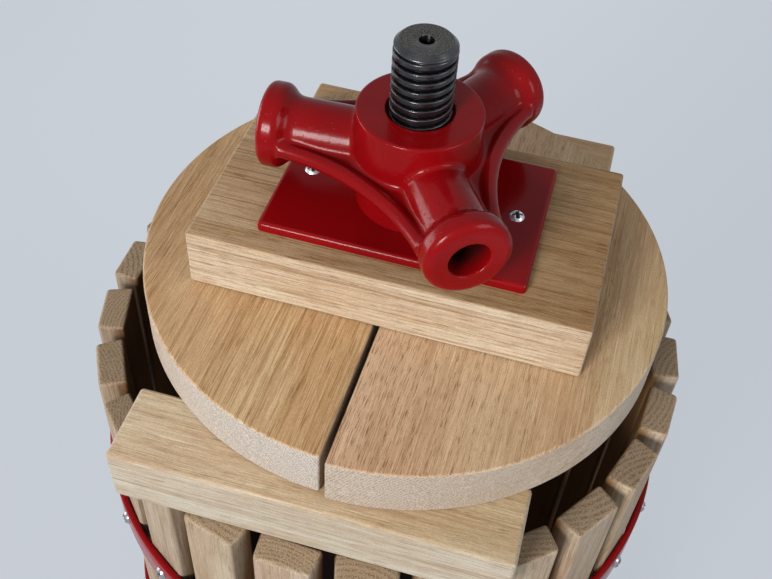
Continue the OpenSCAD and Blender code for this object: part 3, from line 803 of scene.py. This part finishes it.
def threaded_spindle():
    """The spindle: a thread in fine rows where it shows, a plain chamfered end and a centre hole."""
    low, high = node_box("spindle")
    bottom, top = low[2], high[2]
    sides = 80
    open_l, fine_rows, plain_rows = 110.0, 24, 10
    root_half, flank, flank_power = 0.17, 0.12, 2.5
    # Painted shade in the thread's roots: below this share of the crest's height, deepening over this span
    dark_below, dark_span = 0.95, 0.2
    chamfer, plain_l, runout_l, plain_inset = 2.5, 4.2, 1.2, 0.2
    hole_r, hole_l, hole_ease, hole_tip_l, hole_tip_r = 3.5, 9.0, 0.5, 1.5, 0.01
    face_inset, face_middle_r = 0.3, 8.0
    turn = np.linspace(0, 2 * math.pi, sides, endpoint=False)
    hidden = np.arange(bottom, top - open_l, THREAD_PITCH / plain_rows)
    z = np.concatenate([hidden, np.arange(top, hidden[-1], -THREAD_PITCH / fine_rows)[::-1]])
    rows = len(z)
    phase = (z[:, None] / THREAD_PITCH - turn[None, :] / (2 * math.pi)) % 1.0
    wave = 1 - (1 - np.clip((np.abs(phase - 0.5) - root_half) / flank, 0, 1)) ** flank_power
    plain = np.clip((z - (top - plain_l)) / runout_l, 0, 1)[:, None]
    radius = SPINDLE_R - THREAD_DEPTH * (1 - wave)
    radius = radius * (1 - plain) + (SPINDLE_R - plain_inset) * plain
    end_limit = SPINDLE_R - np.maximum(chamfer - np.minimum(top - z, z - bottom), 0)
    radius = np.minimum(radius, end_limit[:, None])
    heights = np.repeat(z[:, None], sides, 1)
    points = [np.stack([radius * np.cos(turn), radius * np.sin(turn), heights], axis=2).reshape(-1, 3)]
    # Painted shade in the thread's roots
    groove = [(np.clip((dark_below - wave) / dark_span, 0, 1) * (1 - plain)).reshape(-1)]
    face = [np.zeros(rows * sides)]
    cap = [(SPINDLE_R - chamfer - face_inset, top), (face_middle_r, top), (hole_r + hole_ease, top),
           (hole_r, top - hole_ease), (hole_r, top - hole_l), (hole_tip_r, top - hole_l - hole_tip_l)]
    for r, height in cap:
        # The centre hole's walls get painted shade
        in_hole = float(height < top)
        points.append(np.stack([r * np.cos(turn), r * np.sin(turn), np.full(sides, height)], axis=1))
        groove.append(np.full(sides, in_hole))
        face.append(np.full(sides, 1.0 - in_hole))
    faces = []
    for i in range(rows + len(cap) - 1):
        for s in range(sides):
            t = (s + 1) % sides
            faces.append([i * sides + s, i * sides + t, (i + 1) * sides + t, (i + 1) * sides + s])
    faces.append(list(range(sides))[::-1])
    obj = mesh_from("spindle_thread", np.concatenate(points), faces)
    groove, face = np.concatenate(groove), np.concatenate(face)
    add_layer(obj.data, "groove", np.stack([groove, face, np.zeros_like(face)], axis=1))
    dress(obj, "spindle", "frame", STEEL)


threaded_spindle()


# Screws with a cross recess

def dome_mesh(head_r, head_h, recess, rings, sides):
    """Points, faces and recess depths (0 to 1) of a domed head on Z = 0 with a cross recess, in mm."""
    slot_half, slot_ease = 0.21 * head_r, 0.06 * head_r
    slot_reach, slot_end_ease = 0.66 * head_r, 0.10 * head_r
    dome_r = (head_r ** 2 + head_h ** 2) / (2 * head_h)
    points, depths = [], []
    for i in range(rings + 1):
        r = head_r * i / rings
        for s in range(sides):
            a = 2 * math.pi * s / sides
            x, y = r * math.cos(a), r * math.sin(a)
            height = math.sqrt(max(dome_r ** 2 - r * r, 0)) - (dome_r - head_h)
            narrow, wide = min(abs(x), abs(y)), max(abs(x), abs(y))
            across = np.clip((slot_half - narrow) / slot_ease + 0.5, 0, 1)
            cut = across * np.clip((slot_reach - wide) / slot_end_ease + 0.5, 0, 1)
            points.append((x, y, height - recess * cut))
            depths.append(cut)
    faces = []
    for i in range(rings):
        for s in range(sides):
            t = (s + 1) % sides
            faces.append((i * sides + s, (i + 1) * sides + s, (i + 1) * sides + t, i * sides + t))
    return np.array(points), np.array(faces), np.array(depths)


def gather_heads(name, head, places):
    """One object from copies of a screw head, each at a seat with three directions."""
    points, faces, depths = [], [], []
    for k, (seat, ways) in enumerate(places):
        points.append(seat + head[0] @ ways)
        faces += (head[1] + k * len(head[0])).tolist()
        depths.append(head[2])
    obj = mesh_from(name, np.concatenate(points), faces)
    # The recess depths mark painted shade in each head's cross recess
    add_layer(obj.data, "groove", np.repeat(np.concatenate(depths)[:, None], 3, 1))
    return obj


def hoop_screws(node, hoop):
    """A ring of domed screws, one through the hoop into each stave, turned as they came."""
    head_r, head_h, recess = 4.2, 2.8, 1.2
    low, high = node_box(hoop)
    middle = (low[2] + high[2]) / 2
    outer_r = (high[0] - low[0]) / 2
    up = np.array([0, 0, 1.0])
    places = []
    for i in range(STAVE_COUNT):
        turn = math.radians(BASKET_TURN + 360 / STAVE_COUNT * i)
        spin = random.Random(500 + i).uniform(0, math.pi / 2)
        out = np.array([math.cos(turn), math.sin(turn), 0])
        side = np.array([-math.sin(turn), math.cos(turn), 0])
        u = side * math.cos(spin) + up * math.sin(spin)
        v = up * math.cos(spin) - side * math.sin(spin)
        places.append((np.array([BASKET_X, BASKET_Y, middle]) + out * outer_r, np.array([u, v, out])))
    obj = gather_heads(node + "_heads", dome_mesh(head_r, head_h, recess, 12, 32), places)
    dress(obj, node, "basket", DULL)


def plate_screws():
    """The two screws that hold the wear plate."""
    head_r, head_h, recess = 4.0, 2.4, 1.5
    low, high = node_box("plate_screws")
    top = node_box("wear_plate")[1][2]
    reach, back = (high[0] - low[0]) / 2 - head_r, (high[1] + low[1]) / 2
    places = []
    for side, spin in ((-1, 0.5), (1, 0.3)):
        c, s = math.cos(spin), math.sin(spin)
        places.append((np.array([side * reach, back, top]), np.array([[c, s, 0], [-s, c, 0], [0, 0, 1]])))
    obj = gather_heads("plate_screw_heads", dome_mesh(head_r, head_h, recess, 24, 64), places)
    dress(obj, "plate_screws", "press_head", BRIGHT)


hoop_screws("upper_hoop_screws", "upper_hoop")
hoop_screws("lower_hoop_screws", "lower_hoop")
plate_screws()


# Hoops and wear plate

def hoop(node):
    """A flat strip round the basket, with eased edges."""
    ease, segments = 1.2, 240
    low, high = node_box(node)
    outer_r = (high[0] - low[0]) / 2
    profile = rounded_profile(outer_r - HOOP_T, outer_r, low[2], high[2], ease)
    obj = revolve(node + "_strip", profile, segments)
    obj.data.transform(Matrix.Translation((BASKET_X * MM, BASKET_Y * MM, 0)))
    dress(obj, node, "basket", RED)


def wear_plate():
    """The red plate, with a full round along its upper edge. Support loops keep its face flat in shading."""
    low, high = node_box("wear_plate")
    half_l, half_w = (high[0] - low[0]) / 2, (high[1] - low[1]) / 2
    corner_r, corner_steps, hole_r, ease, ease_steps = 2.8, 9, 16.0, 2.3, 10
    edge_support, hole_support = 0.3, 0.4

    def outline(inset):
        loop = []
        for x, y, start in ((1, 1, 0), (-1, 1, 90), (-1, -1, 180), (1, -1, 270)):
            centre_x, centre_y = x * (half_l - corner_r), y * (half_w - corner_r)
            loop += arc(centre_x, centre_y, corner_r - inset, start, start + 90, corner_steps)
        return loop

    hole = [(hole_r * x / math.hypot(x, y), hole_r * y / math.hypot(x, y)) for x, y in outline(0)]
    rim = [(x * (1 + hole_support / hole_r), y * (1 + hole_support / hole_r)) for x, y in hole]
    loops = [(outline(0), low[2]), (outline(0), low[2] + edge_support)]
    for a in np.radians(np.linspace(0, 90, ease_steps)):
        loops.append((outline(ease * (1 - math.cos(a))), high[2] - ease * (1 - math.sin(a))))
    loops += [(outline(ease + edge_support), high[2]), (rim, high[2]), (hole, high[2]), (hole, low[2])]
    obj = slab("wear_plate_enamel", loops)
    dress(obj, "wear_plate", "press_head", RED)


hoop("upper_hoop")
hoop("lower_hoop")
wear_plate()


# Solids that keep their shape and take a finish

def finish_solid(node, material):
    """Gives a solid of the frame its finish."""
    obj = frame["nodes"][node]
    obj.data.materials.clear()
    obj.data.materials.append(material)


finish_solid("tray", STAINED)
for solid in ("tray_wall", "spout", "base_star", "left_leg", "right_leg", "rear_leg"):
    finish_solid(solid, RED)
for solid in ("leg_bolts", "leg_nuts", "upper_clamp_nut", "spindle_washer", "lower_clamp_nut"):
    finish_solid(solid, DULL)
finish_solid("spindle_seal", RUBBER)


# Stage, light and camera

def seeing_ray(tree):
    """1 for the rays that see the background: the camera's, mirrored and transmitted ones."""
    path = tree.nodes.new("ShaderNodeLightPath")
    seen = path.outputs["Is Camera Ray"]
    for ray in ("Is Glossy Ray", "Is Transmission Ray"):
        either = tree.nodes.new("ShaderNodeMath")
        either.operation = "MAXIMUM"
        tree.links.new(seen, either.inputs[0])
        tree.links.new(path.outputs[ray], either.inputs[1])
        seen = either.outputs[0]
    return seen


def stage():
    """A pale floor. Part of its brightness is seen as a glow, so that no lamp's falloff shows."""
    size, z, glow_share = 12.0, -0.0005, 0.75
    corners = [(-size, -size, z), (size, -size, z), (size, size, z), (-size, size, z)]
    mesh = bpy.data.meshes.new("floor")
    mesh.from_pydata(corners, [], [(0, 1, 2, 3)])
    floor = new_object("floor", mesh)
    n = Nodes("pale_floor")
    n.set(Base_Color=(0.46, 0.48, 0.52, 1), Roughness=0.8)
    glow = n.add("ShaderNodeEmission")
    place = n.object_place()
    # Painted light on the glow: lighter towards the back and a little darker to either side
    away = n.span(n.vector("DOT_PRODUCT", place, (-0.2, 1, 0)), 0.0, 1.4)
    aside = n.math("ABSOLUTE", n.vector("DOT_PRODUCT", place, (1, 0.23, 0)))
    n.link(n.mix(away, FLOOR_NEAR, FLOOR_FAR), glow.inputs["Color"])
    n.link(n.span(aside, 0.15, 1.1, 1.03, 0.93), glow.inputs["Strength"])
    mixed = n.add("ShaderNodeMixShader")
    n.link(n.math("MULTIPLY", seeing_ray(n.tree), glow_share), mixed.inputs[0])
    n.link(n.shader.outputs[0], mixed.inputs[1])
    n.link(glow.outputs[0], mixed.inputs[2])
    n.link(mixed.outputs[0], n.tree.nodes["Material Output"].inputs["Surface"])
    mesh.materials.append(n.material)


def area_light(name, place, target, size, power, colour=(1, 1, 1)):
    """A soft rectangular lamp that faces a target."""
    data = bpy.data.lights.new(name, "AREA")
    data.shape = "RECTANGLE"
    data.size, data.size_y = size
    data.energy = power
    data.color = colour
    obj = bpy.data.objects.new(name, data)
    bpy.context.scene.collection.objects.link(obj)
    obj.location = place
    obj.rotation_euler = (Vector(target) - Vector(place)).to_track_quat("-Z", "Y").to_euler()


def lights():
    """The main light in front, and two weaker and broader ones at the sides."""
    middle = (0, 0, 0.62)
    area_light("front_softbox", (-0.42, -1.50, 1.28), middle, (0.5, 0.55), 34, (1.0, 0.985, 0.96))
    area_light("left_panel", (-1.5, 0.15, 0.58), middle, (0.8, 0.7), 9.5)
    area_light("right_fill", (1.7, -0.5, 1.5), middle, (0.9, 0.9), 11.5, (0.97, 0.98, 1.0))


def world():
    """Pale light from all round, brighter where it is seen as the background."""
    studio = bpy.data.worlds.new("studio")
    bpy.context.scene.world = studio
    studio.use_nodes = True
    tree = studio.node_tree
    sky = tree.nodes["Background"]
    sky.inputs["Color"].default_value = (0.84, 0.87, 0.92, 1)
    level = tree.nodes.new("ShaderNodeMix")
    level.inputs["A"].default_value, level.inputs["B"].default_value = WORLD_LEVEL, WORLD_SEEN
    tree.links.new(seeing_ray(tree), level.inputs["Factor"])
    tree.links.new(level.outputs["Result"], sky.inputs["Strength"])


def camera():
    """The photograph's camera."""
    data = bpy.data.cameras.new("camera")
    data.sensor_fit = "HORIZONTAL"
    data.sensor_width = 36.0
    data.lens = data.sensor_width * FOCAL_PX / IMAGE_W
    data.shift_x = (IMAGE_W / 2 - PRINCIPAL_X) / IMAGE_W
    data.clip_start = 0.01
    obj = bpy.data.objects.new("camera", data)
    bpy.context.scene.collection.objects.link(obj)
    flat, down = math.cos(CAMERA_ELEVATION), -math.sin(CAMERA_ELEVATION)
    forward = Vector((-flat * math.sin(CAMERA_AZIMUTH), flat * math.cos(CAMERA_AZIMUTH), down))
    level = forward.cross(Vector((0, 0, 1))).normalized()
    rise = level.cross(forward)
    right = level * math.cos(CAMERA_ROLL) + rise * math.sin(CAMERA_ROLL)
    up = right.cross(forward)
    boards_top = node_box("left_board")[1][2]
    turn = Matrix((right, up, -forward)).transposed().to_4x4()
    place = Vector((CAMERA_RIGHT_MM, CAMERA_BACK_MM, boards_top + CAMERA_RISE_MM)) * MM
    obj.matrix_world = Matrix.Translation(place) @ turn
    bpy.context.scene.camera = obj


stage()
lights()
world()
camera()
bpy.context.scene.view_settings.view_transform = "Standard"
